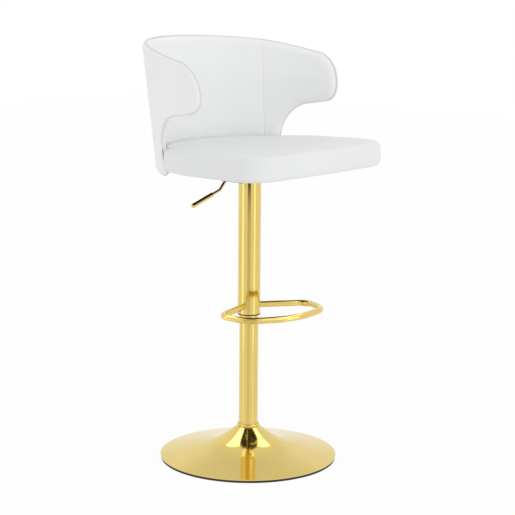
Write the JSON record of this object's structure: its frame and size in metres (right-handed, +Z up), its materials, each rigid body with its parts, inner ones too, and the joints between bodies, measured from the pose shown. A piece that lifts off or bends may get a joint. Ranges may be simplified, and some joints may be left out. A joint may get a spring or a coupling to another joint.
{
  "type": "bar stool",
  "caption": "Height-adjustable swivel bar stool with a padded seat, a wrap-around winged back, a gas-lift column, a footrest loop and a round trumpet base.",
  "frame": {"origin": "on the floor under the column's axis, at the middle of the base", "axes": "+Z up along the column, the seat faces -Y, +X is the sitter's left; drawn with the seat at the top of its lift"},
  "size_m": [0.546, 0.5245, 1.0648],
  "materials": {
    "gold_metal": "polished",
    "padded_leatherette": "satin",
    "outer_leatherette": "satin",
    "grey_piping": "satin",
    "black_rubber": "matte",
    "black_plastic": "satin",
    "plain_steel": "satin",
    "black_steel": "satin",
    "plywood": "matte",
    "black_cloth": "matte"
  },
  "bodies": {
    "base": {"base_dish": "gold_metal", "base_edge_ring": "black_rubber", "base_hub": "plain_steel", "base_weight_plate": "plain_steel", "column_tube": "gold_metal", "column_foot": "plain_steel", "column_trim_ring": "gold_metal", "column_guide_bush": "black_plastic", "bearing_lower_race": "plain_steel", "bearing_balls": "plain_steel", "bearing_cage": "black_plastic"},
    "spindle": {"bearing_upper_race": "plain_steel", "gas_rod": "plain_steel", "rod_clip": "plain_steel", "rod_clip_washer": "plain_steel", "gas_piston": "plain_steel", "piston_nut": "plain_steel"},
    "lift": {"gas_cylinder": "black_steel", "gas_rod_guide": "plain_steel", "cover_tube": "gold_metal", "cover_bush": "black_plastic", "cover_collar": "plain_steel", "taper_socket": "plain_steel", "footrest_loop": "gold_metal", "seat_plate": "black_steel", "plate_channel": "black_steel", "plate_bolts": "plain_steel", "plate_washers": "plain_steel", "tee_nuts": "plain_steel", "lever_pivot_pin": "plain_steel", "seat_board": "plywood", "under_seat_cloth": "black_cloth", "seat_cushion": "padded_leatherette", "back_outer_cover": "outer_leatherette", "back_shell": "plywood", "back_inner_pad": "padded_leatherette", "back_piping": "grey_piping", "back_brackets": "black_steel", "bracket_screws": "plain_steel"},
    "lever": {"lever_rod": "gold_metal", "lever_grip": "gold_metal"},
    "valve": {"valve_button": "plain_steel"}
  },
  "joints": [
    {"name": "seat_swivel", "type": "hinge", "parent": "base", "child": "spindle", "pos_m": [0, 0, 0.02], "axis": [0, 0, 1], "continuous": true},
    {"name": "seat_lift", "type": "slide", "parent": "spindle", "child": "lift", "axis": [0, 0, 1], "range_m": [-0.215, 0]},
    {"name": "lever_pivot", "type": "hinge", "parent": "lift", "child": "lever", "pos_m": [-0.038, 0, 0.736], "axis": [0, 1, 0], "range_deg": [0, 7], "stiffness_Nm_per_rad": 1.5, "springref_deg": -11.46},
    {"name": "valve_press", "type": "slide", "parent": "lift", "child": "valve", "axis": [0, 0, -1], "range_m": [0, 0.005]}
  ],
  "couplings": [
    {"joint": "valve_press", "follows": "lever_pivot", "m_per_rad": 0.038}
  ]
}
